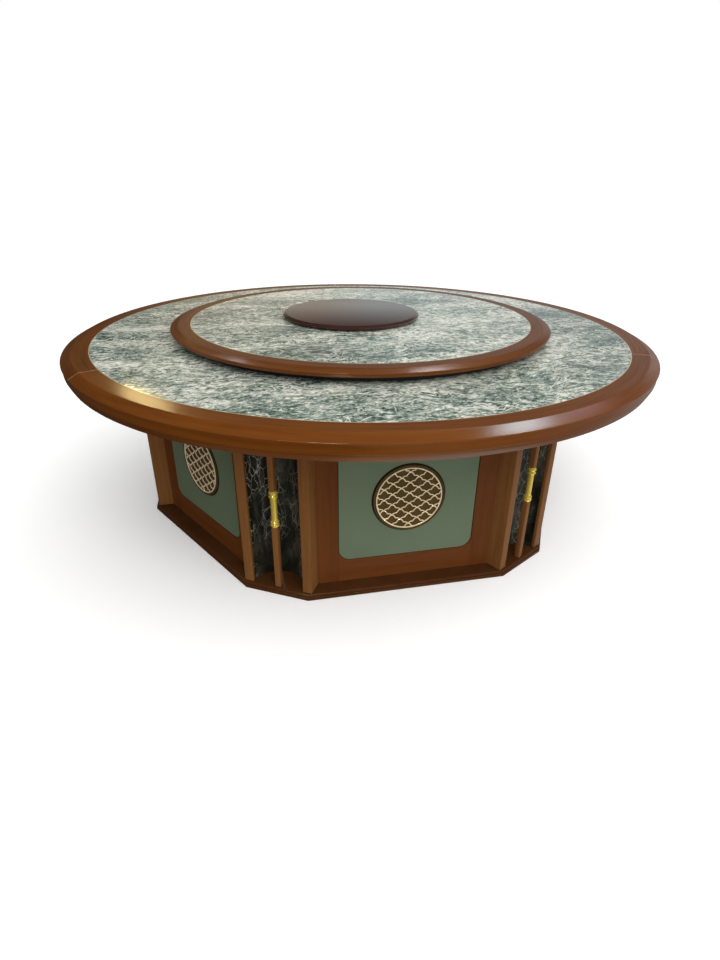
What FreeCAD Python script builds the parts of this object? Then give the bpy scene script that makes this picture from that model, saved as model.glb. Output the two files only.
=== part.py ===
"""Round banquet table: stone top in a wooden rim, hand-turned turntable and panelled twelve-sided base.

Frame: +Z up, origin on the floor at the middle of the base, front long face of the base towards -Y.
Lengths are millimetres and live in the sheet called dims.
"""
import FreeCAD
import Part
import Sketcher
import math
import os

# Driving dimensions

LENGTHS = {
    # Table top
    "table_height": 750,
    "table_radius": 1210,
    "marble_thick": 18,
    "substrate_thick": 25,
    "rim_width": 101,
    "rim_bevel_width": 38,
    "rim_nose_drop": 19,
    "rim_waist_inset": 4,
    "rim_waist_drop": 52,
    "rim_foot_inset": 15,
    "rim_depth": 79,
    # Turntable
    "turntable_radius": 802,
    "turn_marble_thick": 18,
    "turn_rim_width": 80.5,
    "turn_bevel_width": 31,
    "turn_nose_drop": 11,
    "turn_foot_inset": 4,
    "turn_rim_thick": 25,
    "turn_board_inset": 42,
    "turn_board_thick": 21,
    "bearing_room": 4,
    # Turntable bearing: two square plates
    "bearing_fixed_side": 400,
    "bearing_moving_side": 370,
    "bearing_gap": 0.2,
    # Loose flower plate
    "plate_x": -41,
    "plate_y": 11.1,
    "plate_radius": 295,
    "plate_thick": 20.5,
    "plate_shoulder_inset": 12,
    "plate_nose_drop": 11,
    "plate_foot_inset": 8,
    "pad_side": 28,
    "pad_thick": 1.5,
    "pad_reach": 200,
    # Base: how far each part stands in from the table's edge, the posts or the frames
    "base_inset": 264,
    "frame_setback": 115,
    "plinth_long_reach": 61,
    "plinth_narrow_reach": 13,
    "plinth_board_thick": 13,
    "plinth_step": 3,
    "plinth_top": 24,
    "plinth_chamfer": 3,
    "top_board_thick": 24,
    "top_board_reach": 41,
    "top_board_inset": 15,
    # Corner posts
    "post_face": 35,
    "post_strip_thick": 14,
    "post_depth": 95,
    # Long side: frame, panel and medallion
    "frame_thick": 18,
    "stile_width": 76,
    "rail_height": 90,
    "opening_round": 45,
    "panel_gap": 1.5,
    "panel_recess": 2,
    "panel_lap": 12,
    "panel_lap_thick": 10,
    "medallion_drop": 4,
    "backing_radius": 133,
    "backing_thick": 4,
    "bead_width": 13,
    "bead_rise": 4,
    # Trellis
    "bar_width": 4.4,
    "bar_thick": 2,
    "cell_width": 61,
    "cell_height": 40.8,
    # Niche
    "niche_radius": 97,
    "niche_shell": 10,
    "niche_lead": 1,
    "slat_width": 20.5,
    "slat_depth": 22,
    # Turned brass sleeve
    "sleeve_bottom": 275,
    "sleeve_length": 141,
    "sleeve_shaft_radius": 11.5,
    "sleeve_collar_radius": 16,
    "sleeve_collar_length": 24,
    # Inner boards
    "rib_thick": 18,
}

ANGLES = {
    "right_seam_angle": -32.2,
    "back_seam_angle": 86.0,
    "left_seam_angle": 204.1,
}

SIDES = 6
TURN = 360 / SIDES
HALF_TURN = TURN / 2
PAD_COUNT = 4
SLEEVE_FACETS = 12
DISC_FACETS = 24

# Places that follow from the sizes
STONE_BOTTOM = "(dims.table_height - dims.marble_thick)"
SUBSTRATE_BOTTOM = f"({STONE_BOTTOM} - dims.substrate_thick)"
BASE_TOP = f"({SUBSTRATE_BOTTOM} - dims.top_board_thick)"
TURN_BOARD_BOTTOM = "(dims.table_height + dims.bearing_room)"
TURN_RIM_BOTTOM = f"({TURN_BOARD_BOTTOM} + dims.turn_board_thick)"
TURNTABLE_TOP = f"({TURN_RIM_BOTTOM} + dims.turn_rim_thick)"
PLATE_BOTTOM = f"({TURNTABLE_TOP} + dims.pad_thick)"
PLATE_TOP = f"({PLATE_BOTTOM} + dims.plate_thick)"
MARBLE_RADIUS = "(dims.table_radius - dims.rim_width)"
TURN_MARBLE_RADIUS = "(dims.turntable_radius - dims.turn_rim_width)"
POST_FRONT = "(dims.table_radius - dims.base_inset)"
STRIP_BACK = f"({POST_FRONT} - dims.post_strip_thick)"
FRAME_FRONT = f"({POST_FRONT} - dims.frame_setback)"
FRAME_BACK = f"({FRAME_FRONT} - dims.frame_thick)"
PANEL_FRONT = f"({FRAME_FRONT} - dims.panel_recess)"
POST_OUTER = "(dims.niche_radius + dims.post_face)"
LINING_HALF = "(dims.niche_radius + dims.niche_shell)"
FRAME_HALF = f"(({FRAME_FRONT} * sin(30) - {POST_OUTER}) / cos(30))"
FRAME_HALF_BACK = f"(({FRAME_BACK} * sin(30) - {POST_OUTER}) / cos(30))"
OPENING_HALF = f"({FRAME_HALF} - dims.stile_width)"
OPENING_BOTTOM = "(dims.plinth_top + dims.rail_height)"
OPENING_TOP = f"({BASE_TOP} - dims.rail_height)"
MEDALLION_HEIGHT = f"(({OPENING_BOTTOM} + {OPENING_TOP}) / 2 - dims.medallion_drop)"
SLEEVE_TOP = "(dims.sleeve_bottom + dims.sleeve_length)"

document = FreeCAD.newDocument("banquet_table")
sheet = document.addObject("Spreadsheet::Sheet", "dims")
nodes = []


def fill_sheet():
    """Write each driving dimension into its own named cell."""
    named = list(LENGTHS.items()) + list(ANGLES.items())
    for row, (name, amount) in enumerate(named, start=1):
        sheet.set(f"A{row}", name)
        sheet.set(f"B{row}", str(amount))
        sheet.setAlias(f"B{row}", name)
    document.recompute()


def amount_of(expression):
    """Number that a sheet expression stands for."""
    found = sheet.evalExpression(str(expression))
    return float(getattr(found, "Value", found))


def turned_about_z(degrees):
    """Placement that turns a piece about the table's axis."""
    rotation = FreeCAD.Rotation(FreeCAD.Vector(0, 0, 1), degrees)
    return FreeCAD.Placement(FreeCAD.Vector(0, 0, 0), rotation)


def keep(piece, label, placement=None):
    """Give a finished sub-part its label and place, and note it for export."""
    piece.Label = label
    if placement is not None:
        piece.Placement = placement
    nodes.append(piece)
    return piece


# Sketch helpers

def new_body(label):
    """Body that may hold several separate solids."""
    body = document.addObject("PartDesign::Body", "body_" + label)
    body.AllowCompound = True
    return body


def new_sketch(body, plane, offset=None):
    """Sketch on one of the body's own planes, moved along its normal by an expression."""
    name = f"{body.Name}_sketch_{len(body.Group)}"
    sketch = body.newObject("Sketcher::SketchObject", name)
    for feature in body.Origin.OriginFeatures:
        if feature.Role == plane:
            sketch.AttachmentSupport = [(feature, "")]
    sketch.MapMode = "FlatFace"
    if offset is not None:
        sketch.setExpression("AttachmentOffset.Base.z", offset)
    return sketch


def pin_point(sketch, geometry, vertex, across, up):
    """Hold a sketch point at two sheet expressions."""
    for kind, expression in (("DistanceX", across), ("DistanceY", up)):
        rule = Sketcher.Constraint(kind, -1, 1, geometry, vertex, amount_of(expression))
        index = sketch.addConstraint(rule)
        sketch.setExpression(f"Constraints[{index}]", str(expression))


def arc_middle(start, end, radius, side):
    """Middle point of the shorter arc that bulges to the left (side 1) or right (side -1)."""
    chord = end.sub(start)
    half = chord.Length / 2
    rise = radius - math.sqrt(max(radius * radius - half * half, 0))
    left = FreeCAD.Vector(-chord.y, chord.x, 0).normalize()
    return start.add(chord.multiply(0.5)).add(left.multiply(side * rise))


def draw_outline(sketch, corners):
    """Closed outline: each corner is (across, up) or (across, up, radius, side) for an arc to the next."""
    points = [FreeCAD.Vector(amount_of(c[0]), amount_of(c[1]), 0) for c in corners]
    starts = []
    ends = []
    for index, corner in enumerate(corners):
        start = points[index]
        end = points[(index + 1) % len(points)]
        if len(corner) == 2:
            geometry = sketch.addGeometry(Part.LineSegment(start, end))
            starts.append((geometry, 1))
            ends.append((geometry, 2))
            continue
        radius = amount_of(corner[2])
        middle = arc_middle(start, end, radius, corner[3])
        geometry = sketch.addGeometry(Part.Arc(start, middle, end))
        first = sketch.getPoint(geometry, 1)
        forward = first.distanceToPoint(start) < first.distanceToPoint(end)
        starts.append((geometry, 1 if forward else 2))
        ends.append((geometry, 2 if forward else 1))
        rule = sketch.addConstraint(Sketcher.Constraint("Radius", geometry, radius))
        sketch.setExpression(f"Constraints[{rule}]", corner[2])
    for index, corner in enumerate(corners):
        pin_point(sketch, *starts[index], corner[0], corner[1])
        after = starts[(index + 1) % len(starts)]
        sketch.addConstraint(Sketcher.Constraint("Coincident", *ends[index], *after))


def pad(body, sketch, length):
    """Extrude a sketch along its normal."""
    feature = body.newObject("PartDesign::Pad", f"{body.Name}_pad_{len(body.Group)}")
    feature.Profile = sketch
    feature.setExpression("Length", length)
    return feature


def pocket(body, sketch, length):
    """Cut a sketch into the body, against its normal."""
    feature = body.newObject("PartDesign::Pocket", f"{body.Name}_pocket_{len(body.Group)}")
    feature.Profile = sketch
    feature.setExpression("Length", length)
    return feature


def turned_piece(label, corners, span=None, placement=None):
    """Solid of revolution about the table's axis from an outline of radius and height."""
    body = new_body(label)
    sketch = new_sketch(body, "XZ_Plane")
    draw_outline(sketch, corners)
    feature = body.newObject("PartDesign::Revolution", f"{body.Name}_turn")
    feature.Profile = sketch
    feature.ReferenceAxis = (sketch, ["V_Axis"])
    if span is not None:
        feature.setExpression("Angle", span)
    return keep(body, label, placement)


def twelve_sided(long_side, narrow_side):
    """Corners of the base outline from the distances to its long and narrow sides."""
    half = f"(({narrow_side} - {long_side} * cos(30)) / sin(30))"
    corners = []
    for number in range(SIDES):
        angle = number * TURN - 90
        for sign in ("-", "+"):
            across = f"{long_side} * cos({angle}) - ({sign}{half}) * sin({angle})"
            up = f"{long_side} * sin({angle}) + ({sign}{half}) * cos({angle})"
            corners.append((across, up))
    return corners


def rounded_opening(half_width, bottom, top, radius):
    """Upright rectangle with round corners, centred left to right."""
    inner = f"({half_width} - {radius})"
    return [
        (f"-{inner}", bottom),
        (inner, bottom, radius, -1),
        (half_width, f"{bottom} + {radius}"),
        (half_width, f"{top} - {radius}", radius, -1),
        (inner, top),
        (f"-{inner}", top, radius, -1),
        (f"-({half_width})", f"{top} - {radius}"),
        (f"-({half_width})", f"{bottom} + {radius}", radius, -1),
    ]


# Table top

def make_table_top():
    """Board, stone disc and the three curved lengths of wooden rim round them."""
    turned_piece("top_substrate", [
        (0, SUBSTRATE_BOTTOM),
        (MARBLE_RADIUS, SUBSTRATE_BOTTOM),
        (MARBLE_RADIUS, STONE_BOTTOM),
        (0, STONE_BOTTOM),
    ])
    turned_piece("marble_top", [
        (0, STONE_BOTTOM),
        (MARBLE_RADIUS, STONE_BOTTOM),
        (MARBLE_RADIUS, "dims.table_height"),
        (0, "dims.table_height"),
    ])
    rim = [
        (MARBLE_RADIUS, "dims.table_height"),
        (MARBLE_RADIUS, "dims.table_height - dims.rim_depth"),
        ("dims.table_radius - dims.rim_foot_inset", "dims.table_height - dims.rim_depth"),
        ("dims.table_radius - dims.rim_waist_inset", "dims.table_height - dims.rim_waist_drop"),
        ("dims.table_radius", "dims.table_height - dims.rim_nose_drop"),
        ("dims.table_radius - dims.rim_bevel_width", "dims.table_height"),
    ]
    seams = ["dims.right_seam_angle", "dims.back_seam_angle", "dims.left_seam_angle"]
    ends = seams[1:] + ["dims.right_seam_angle + 360"]
    for number, (seam, end) in enumerate(zip(seams, ends), start=1):
        turned_piece(f"rim_segment_{number}", rim, f"{end} - {seam}", turned_about_z(amount_of(seam)))


# Turntable

def make_turntable():
    """Stone disc and wooden rim on a stepped black board."""
    marble_bottom = f"{TURNTABLE_TOP} - dims.turn_marble_thick"
    turned_piece("turntable_board", [
        (0, TURN_BOARD_BOTTOM),
        ("dims.turntable_radius - dims.turn_board_inset", TURN_BOARD_BOTTOM),
        ("dims.turntable_radius - dims.turn_board_inset", TURN_RIM_BOTTOM),
        (TURN_MARBLE_RADIUS, TURN_RIM_BOTTOM),
        (TURN_MARBLE_RADIUS, marble_bottom),
        (0, marble_bottom),
    ])
    turned_piece("turntable_marble", [
        (0, marble_bottom),
        (TURN_MARBLE_RADIUS, marble_bottom),
        (TURN_MARBLE_RADIUS, TURNTABLE_TOP),
        (0, TURNTABLE_TOP),
    ])
    turned_piece("turntable_rim", [
        (TURN_MARBLE_RADIUS, TURN_RIM_BOTTOM),
        ("dims.turntable_radius - dims.turn_foot_inset", TURN_RIM_BOTTOM),
        ("dims.turntable_radius", f"{TURNTABLE_TOP} - dims.turn_nose_drop"),
        ("dims.turntable_radius - dims.turn_bevel_width", TURNTABLE_TOP),
        (TURN_MARBLE_RADIUS, TURNTABLE_TOP),
    ])


def square_plate(name, side, thick, bottom):
    """Flat square plate centred on the turntable's axis."""
    plate = document.addObject("Part::Box", name)
    plate.setExpression("Length", side)
    plate.setExpression("Width", side)
    plate.setExpression("Height", thick)
    plate.setExpression("Placement.Base.x", f"-{side} / 2")
    plate.setExpression("Placement.Base.y", f"-{side} / 2")
    plate.setExpression("Placement.Base.z", bottom)
    return plate


def make_bearing():
    """Swivel bearing: a fixed square plate and a turning one over a thin running gap."""
    thick = "(dims.bearing_room - dims.bearing_gap) / 2"
    lower = square_plate("swivel_lower", "dims.bearing_fixed_side", thick, "dims.table_height")
    keep(lower, "bearing_lower_plate")
    upper_bottom = f"{TURN_BOARD_BOTTOM} - {thick}"
    upper = square_plate("swivel_upper", "dims.bearing_moving_side", thick, upper_bottom)
    keep(upper, "bearing_upper_plate")


def make_flower_plate():
    """Loose round plate with a moulded edge, standing on felt pads."""
    place = FreeCAD.Placement(
        FreeCAD.Vector(amount_of("dims.plate_x"), amount_of("dims.plate_y"), 0),
        FreeCAD.Rotation(),
    )
    turned_piece("flower_plate", [
        (0, PLATE_BOTTOM),
        ("dims.plate_radius - dims.plate_foot_inset", PLATE_BOTTOM),
        ("dims.plate_radius", f"{PLATE_TOP} - dims.plate_nose_drop"),
        ("dims.plate_radius - dims.plate_shoulder_inset", PLATE_TOP),
        (0, PLATE_TOP),
    ], None, place)
    pads = []
    for number in range(PAD_COUNT):
        pad_piece = square_plate(
            f"pad_{number + 1}", "dims.pad_side", "dims.pad_thick", TURNTABLE_TOP)
        angle = number * 360 / PAD_COUNT
        half = "dims.pad_side / 2"
        pad_piece.setExpression("Placement.Base.x", f"dims.pad_reach * cos({angle}) - {half}")
        pad_piece.setExpression("Placement.Base.y", f"dims.pad_reach * sin({angle}) - {half}")
        pads.append(pad_piece)
    group = document.addObject("Part::Compound", "pad_circle_group")
    group.Links = pads
    keep(group, "plate_pads", place)


# Base

def make_plinth():
    """Floor board and the thinner moulding above it, set back and chamfered on its upper edge."""
    board = new_body("plinth_board")
    outline = new_sketch(board, "XY_Plane")
    long_side = f"({FRAME_FRONT} + dims.plinth_long_reach)"
    narrow_side = f"({POST_FRONT} + dims.plinth_narrow_reach)"
    draw_outline(outline, twelve_sided(long_side, narrow_side))
    pad(board, outline, "dims.plinth_board_thick")
    keep(board, "plinth_board")

    moulding = new_body("plinth_moulding")
    outline = new_sketch(moulding, "XY_Plane", "dims.plinth_board_thick")
    draw_outline(outline, twelve_sided(
        f"({long_side} - dims.plinth_step)", f"({narrow_side} - dims.plinth_step)"))
    block = pad(moulding, outline, "dims.plinth_top - dims.plinth_board_thick")
    document.recompute()
    heights = [face.CenterOfMass.z for face in block.Shape.Faces]
    top_face = f"Face{heights.index(max(heights)) + 1}"
    edge = moulding.newObject("PartDesign::Chamfer", "plinth_edge")
    edge.Base = (block, [top_face])
    edge.setExpression("Size", "dims.plinth_chamfer")
    keep(moulding, "plinth_moulding")


def make_top_board():
    """Board that closes the base and carries the table top."""
    board = new_body("cabinet_top_board")
    outline = new_sketch(board, "XY_Plane", BASE_TOP)
    draw_outline(outline, twelve_sided(
        f"({FRAME_FRONT} + dims.top_board_reach)", f"({POST_FRONT} - dims.top_board_inset)"))
    pad(board, outline, "dims.top_board_thick")
    keep(board, "cabinet_top_board")


def make_ribs():
    """Three boards halved together inside the base, one to each pair of long sides."""
    boards = []
    reach = f"({FRAME_BACK} - dims.panel_lap_thick)"
    for number in range(SIDES // 2):
        board = document.addObject("Part::Box", f"rib_{number + 1}")
        board.setExpression("Length", "dims.rib_thick")
        board.setExpression("Width", f"2 * {reach}")
        board.setExpression("Height", f"{BASE_TOP} - dims.plinth_top")
        angle = number * TURN
        board.setExpression("Placement.Rotation.Angle", str(angle))
        half = "dims.rib_thick / 2"
        board.setExpression("Placement.Base.x", f"-{half} * cos({angle}) + {reach} * sin({angle})")
        board.setExpression("Placement.Base.y", f"-{half} * sin({angle}) - {reach} * cos({angle})")
        board.setExpression("Placement.Base.z", "dims.plinth_top")
        boards.append(board)
    star = document.addObject("Part::MultiFuse", "rib_star")
    star.Shapes = boards
    keep(star, "core_ribs")


def make_posts(number):
    """Pair of L-shaped posts that edge one niche and close the long sides beside it."""
    body = new_body(f"corner_posts_{number}")
    sketch = new_sketch(body, "XY_Plane", "dims.plinth_top")
    back = f"({POST_FRONT} - dims.post_depth)"
    for sign in ("", "-"):
        draw_outline(sketch, [
            (f"{sign}{POST_OUTER}", f"-{POST_FRONT}"),
            (f"{sign}{POST_OUTER}", f"-{back}"),
            (f"{sign}{LINING_HALF}", f"-{back}"),
            (f"{sign}{LINING_HALF}", f"-{STRIP_BACK}"),
            (f"{sign}dims.niche_radius", f"-{STRIP_BACK}"),
            (f"{sign}dims.niche_radius", f"-{POST_FRONT}"),
        ])
    pad(body, sketch, f"{BASE_TOP} - dims.plinth_top")
    keep(body, f"corner_posts_{number}", turned_about_z(HALF_TURN + (number - 1) * TURN))


def make_niche(number):
    """Stone lining between a pair of posts, hollowed to a half round."""
    body = new_body(f"niche_lining_{number}")
    sketch = new_sketch(body, "XY_Plane", "dims.plinth_top")
    back = f"({POST_FRONT} + dims.niche_lead - {LINING_HALF})"
    reach = "sqrt(dims.niche_radius^2 - (dims.niche_lead + dims.post_strip_thick)^2)"
    draw_outline(sketch, [
        (f"-{reach}", f"-{STRIP_BACK}", "dims.niche_radius", 1),
        (reach, f"-{STRIP_BACK}"),
        (LINING_HALF, f"-{STRIP_BACK}"),
        (LINING_HALF, f"-{back}"),
        (f"-{LINING_HALF}", f"-{back}"),
        (f"-{LINING_HALF}", f"-{STRIP_BACK}"),
    ])
    pad(body, sketch, f"{BASE_TOP} - dims.plinth_top")
    keep(body, f"niche_lining_{number}", turned_about_z(HALF_TURN + (number - 1) * TURN))


def slat_stick(name, bottom, height):
    """Square stick standing in front of a niche."""
    stick = document.addObject("Part::Box", name)
    stick.setExpression("Length", "dims.slat_width")
    stick.setExpression("Width", "dims.slat_depth")
    stick.setExpression("Height", height)
    stick.setExpression("Placement.Base.x", "-dims.slat_width / 2")
    stick.setExpression("Placement.Base.y", f"-{POST_FRONT}")
    stick.setExpression("Placement.Base.z", bottom)
    return stick


def make_slat(number):
    """Lower and upper stick in front of a niche, with room for the brass sleeve between them."""
    lower = slat_stick(
        f"slat_{number}_lower", "dims.plinth_top", "dims.sleeve_bottom - dims.plinth_top")
    upper = slat_stick(f"slat_{number}_upper", SLEEVE_TOP, f"{BASE_TOP} - {SLEEVE_TOP}")
    pair = document.addObject("Part::Compound", f"slat_pair_{number}")
    pair.Links = [lower, upper]
    keep(pair, f"slat_{number}", turned_about_z(HALF_TURN + (number - 1) * TURN))


def sleeve_part(name, radius, bottom, height):
    """Many-sided length of a sleeve."""
    prism = document.addObject("Part::Prism", name)
    prism.Polygon = SLEEVE_FACETS
    prism.setExpression("Circumradius", radius)
    prism.setExpression("Height", height)
    prism.setExpression("Placement.Base.y", f"-({POST_FRONT} - dims.slat_depth / 2)")
    prism.setExpression("Placement.Base.z", bottom)
    return prism


def make_sleeve(number):
    """Brass sleeve with a thick collar at each end, joining the two sticks of a slat."""
    collar = "dims.sleeve_collar_length"
    sleeve = document.addObject("Part::MultiFuse", f"sleeve_{number}")
    sleeve.Shapes = [
        sleeve_part(
            f"sleeve_{number}_low", "dims.sleeve_collar_radius", "dims.sleeve_bottom", collar),
        sleeve_part(
            f"sleeve_{number}_shaft", "dims.sleeve_shaft_radius",
            f"dims.sleeve_bottom + {collar}", f"dims.sleeve_length - 2 * {collar}"),
        sleeve_part(
            f"sleeve_{number}_high", "dims.sleeve_collar_radius", f"{SLEEVE_TOP} - {collar}",
            collar),
    ]
    keep(sleeve, f"brass_sleeve_{number}", turned_about_z(HALF_TURN + (number - 1) * TURN))


def make_frame(number):
    """Wide wooden frame of one long side, its ends cut to lie against the posts."""
    body = new_body(f"panel_frame_{number}")
    plan = new_sketch(body, "XY_Plane", "dims.plinth_top")
    draw_outline(plan, [
        (f"-{FRAME_HALF}", f"-{FRAME_FRONT}"),
        (FRAME_HALF, f"-{FRAME_FRONT}"),
        (FRAME_HALF_BACK, f"-{FRAME_BACK}"),
        (f"-{FRAME_HALF_BACK}", f"-{FRAME_BACK}"),
    ])
    pad(body, plan, f"{BASE_TOP} - dims.plinth_top")
    opening = new_sketch(body, "XZ_Plane", FRAME_FRONT)
    draw_outline(opening, rounded_opening(
        OPENING_HALF, OPENING_BOTTOM, OPENING_TOP, "dims.opening_round"))
    pocket(body, opening, "dims.frame_thick")
    keep(body, f"panel_frame_{number}", turned_about_z((number - 1) * TURN))


def make_panel(number):
    """Painted panel: a field inside the frame's opening and a square-cornered lap behind it."""
    body = new_body(f"green_panel_{number}")
    lap = new_sketch(body, "XZ_Plane", f"{FRAME_BACK} - dims.panel_lap_thick")
    side = f"({OPENING_HALF} + dims.panel_lap)"
    low = f"{OPENING_BOTTOM} - dims.panel_lap"
    high = f"{OPENING_TOP} + dims.panel_lap"
    draw_outline(lap, [(f"-{side}", low), (side, low), (side, high), (f"-{side}", high)])
    pad(body, lap, "dims.panel_lap_thick")
    field = new_sketch(body, "XZ_Plane", FRAME_BACK)
    draw_outline(field, rounded_opening(
        f"({OPENING_HALF} - dims.panel_gap)", f"({OPENING_BOTTOM} + dims.panel_gap)",
        f"({OPENING_TOP} - dims.panel_gap)", "(dims.opening_round - dims.panel_gap)"))
    pad(body, field, "dims.frame_thick - dims.panel_recess")
    keep(body, f"green_panel_{number}", turned_about_z((number - 1) * TURN))


# Medallions

def disc(name, radius, height, distance, angle):
    """Upright many-sided disc on a long side, growing outwards from a distance."""
    piece = document.addObject("Part::Prism", name)
    piece.Polygon = DISC_FACETS
    piece.setExpression("Circumradius", radius)
    piece.setExpression("Height", height)
    facing = FreeCAD.Rotation(FreeCAD.Vector(1, 0, 0), 90)
    turn = FreeCAD.Rotation(FreeCAD.Vector(0, 0, 1), angle)
    piece.Placement = FreeCAD.Placement(FreeCAD.Vector(0, 0, 0), turn.multiply(facing))
    piece.setExpression("Placement.Base.x", f"({distance}) * sin({angle})")
    piece.setExpression("Placement.Base.y", f"-({distance}) * cos({angle})")
    piece.setExpression("Placement.Base.z", MEDALLION_HEIGHT)
    return piece


def make_medallion_backs():
    """Dark wooden disc with a raised border, planted on each panel."""
    bore = f"(dims.backing_radius - dims.bead_width) / cos({180 / DISC_FACETS})"
    backs = []
    for number in range(SIDES):
        angle = number * TURN
        whole = disc(
            f"backing_{number + 1}", "dims.backing_radius", "dims.backing_thick + dims.bead_rise",
            PANEL_FRONT, angle)
        hollow = disc(
            f"backing_hollow_{number + 1}", bore, "dims.bead_rise",
            f"{PANEL_FRONT} + dims.backing_thick", angle)
        back = document.addObject("Part::Cut", f"backing_disc_{number + 1}")
        back.Base = whole
        back.Tool = hollow
        backs.append(back)
    group = document.addObject("Part::Compound", "medallion_group")
    group.Links = backs
    keep(group, "medallion_backs")


def trellis_layer(slope_sign, start):
    """Parallel slanting bars of one layer, ending against the medallion's border and facing -Y."""
    radius = amount_of("dims.backing_radius - dims.bead_width")
    width = amount_of("dims.bar_width")
    thick = amount_of("dims.bar_thick")
    step = amount_of("dims.cell_width")
    slope = math.atan2(amount_of("dims.cell_height"), step)
    toward = FreeCAD.Vector(0, -1, 0)
    corner_reach = radius / math.cos(math.pi / DISC_FACETS)
    corners = []
    for number in range(DISC_FACETS + 1):
        angle = 2 * math.pi * number / DISC_FACETS
        corners.append(FreeCAD.Vector(
            corner_reach * math.cos(angle), start, corner_reach * math.sin(angle)))
    window = Part.Face(Part.makePolygon(corners)).extrude(toward * thick)
    spacing = step * math.sin(slope)
    count = math.floor((radius - width) / spacing + 0.5)
    bars = []
    for number in range(-count, count):
        middle = (number + 0.5) * spacing
        bar = Part.makeBox(
            radius * 2, thick, width,
            FreeCAD.Vector(-radius, start - thick, middle - width / 2))
        bar.rotate(FreeCAD.Vector(0, 0, 0), toward, math.degrees(slope) * slope_sign)
        bars.append(window.common(bar).Solids[0])
    return bars


def make_lattices():
    """Two crossing layers of gold bars on each medallion."""
    thick = amount_of("dims.bar_thick")
    bars = Part.Compound(trellis_layer(1, 0) + trellis_layer(-1, -thick))
    distance = amount_of(f"{PANEL_FRONT} + dims.backing_thick")
    centre = FreeCAD.Vector(0, -distance, amount_of(MEDALLION_HEIGHT))
    shift = FreeCAD.Placement(centre, FreeCAD.Rotation())
    for number in range(1, SIDES + 1):
        piece = document.addObject("Part::Feature", f"trellis_{number}")
        piece.Shape = bars.copy()
        keep(piece, f"lattice_{number}", turned_about_z((number - 1) * TURN).multiply(shift))


# Assembly, checks and export

def check_and_export():
    """Stop on any failed feature or bad shape, then write one file per sub-part."""
    document.recompute()
    failed = [item.Name for item in document.Objects if {"Invalid", "Error"} & set(item.State)]
    if failed:
        raise RuntimeError("failed features: " + ", ".join(failed))
    for piece in nodes:
        if piece.Shape.isNull() or not piece.Shape.isValid() or not piece.Shape.Solids:
            raise RuntimeError("bad shape: " + piece.Label)
    os.makedirs("parts", exist_ok=True)
    for piece in nodes:
        piece.Shape.exportStep(os.path.join("parts", piece.Label + ".step"))
    print("sub-parts written:", len(nodes))


def main():
    fill_sheet()
    make_table_top()
    make_turntable()
    make_bearing()
    make_flower_plate()
    make_plinth()
    make_top_board()
    make_ribs()
    for number in range(1, SIDES + 1):
        make_posts(number)
        make_niche(number)
        make_slat(number)
        make_sleeve(number)
        make_frame(number)
        make_panel(number)
    make_medallion_backs()
    make_lattices()
    check_and_export()


main()
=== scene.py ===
"""Looks of the round banquet table: lacquered wood, stone, painted panels, gold and brass."""
import math

import bmesh
import bpy
from mathutils import Matrix, Vector


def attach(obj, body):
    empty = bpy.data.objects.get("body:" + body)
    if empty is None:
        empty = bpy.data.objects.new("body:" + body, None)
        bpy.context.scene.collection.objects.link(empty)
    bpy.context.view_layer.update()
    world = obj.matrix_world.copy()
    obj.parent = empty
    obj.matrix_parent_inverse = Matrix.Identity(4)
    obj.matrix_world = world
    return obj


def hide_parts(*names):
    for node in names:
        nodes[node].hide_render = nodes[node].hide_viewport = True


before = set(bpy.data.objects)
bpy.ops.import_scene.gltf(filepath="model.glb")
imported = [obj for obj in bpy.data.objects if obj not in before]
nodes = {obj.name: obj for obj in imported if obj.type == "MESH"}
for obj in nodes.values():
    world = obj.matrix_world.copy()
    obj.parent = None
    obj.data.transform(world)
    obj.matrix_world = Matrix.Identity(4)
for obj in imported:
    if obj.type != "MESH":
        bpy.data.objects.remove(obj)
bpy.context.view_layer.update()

MM = 0.001
SIDES = 6
UPRIGHT = Matrix.Rotation(math.radians(90), 4, "X")


# Sizes in millimetres, as on the real table. Names with R are radii, names with FRONT, BACK,
# CENTRE, AXIS or MIDDLE are places counted from the table's middle, and names with TOP, LOW,
# HIGH, FOOT or Z are heights above the floor.

TOP = 750
TOP_MARBLE_R = 1109
RIM_FOOT = 671
SEAM_WIDTH = 2.2

TURN_TOP = 800
TURN_RIM_FOOT = 775
TURN_MARBLE_R = 721.5
PLATE_CENTRE = (-41, 11.1)
PLATE_FOOT = 801.5
PLATE_TOP = 822

PLINTH_TOP = 24
BASE_TOP = 683
POST_FRONT = 946
POST_OUTER = 132
POST_STRIP_THICK = 14
NICHE_R = 97
NICHE_CENTRE = 947
NICHE_SHELL = 10
SLAT_AXIS = 935
SLEEVE_LOW = 275
SLEEVE_HIGH = 416

FRAME_FRONT = 831
FRAME_THICK = 18
FRAME_CLEARANCE = 0.3
OPENING_HALF = 251.36
OPENING_LOW = 114
OPENING_HIGH = 593
OPENING_ROUND = 45
PANEL_FRONT = 829
PANEL_THICK = 16
PANEL_BACK = 813
PANEL_GAP = 1.7
LAP_HALF = 262
LAP_REACH = 12
LAP_THICK = 10

MEDALLION_Z = 349.5
RECESS_R = 133.4
GROOVE_R = 132.9
GROOVE_FRONT = 829.6
DISC_R = 129
DISC_FRONT = 833
DISC_BEAD_R = 1.8
DISC_BEAD_MIDDLE = 834.6
TRELLIS_MIDDLE = 834.9
TRELLIS_R = 118
TRELLIS_BORDER_R = 117.4
TRELLIS_BORDER_SWELL = 1.25
WIRE_R = 2.0
CELL_WIDTH = 61
CELL_HEIGHT = 40.8

# Angles in degrees, counted from the table's right towards its back
SEAMS = (-32.2, 86.0, 204.1)

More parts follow.
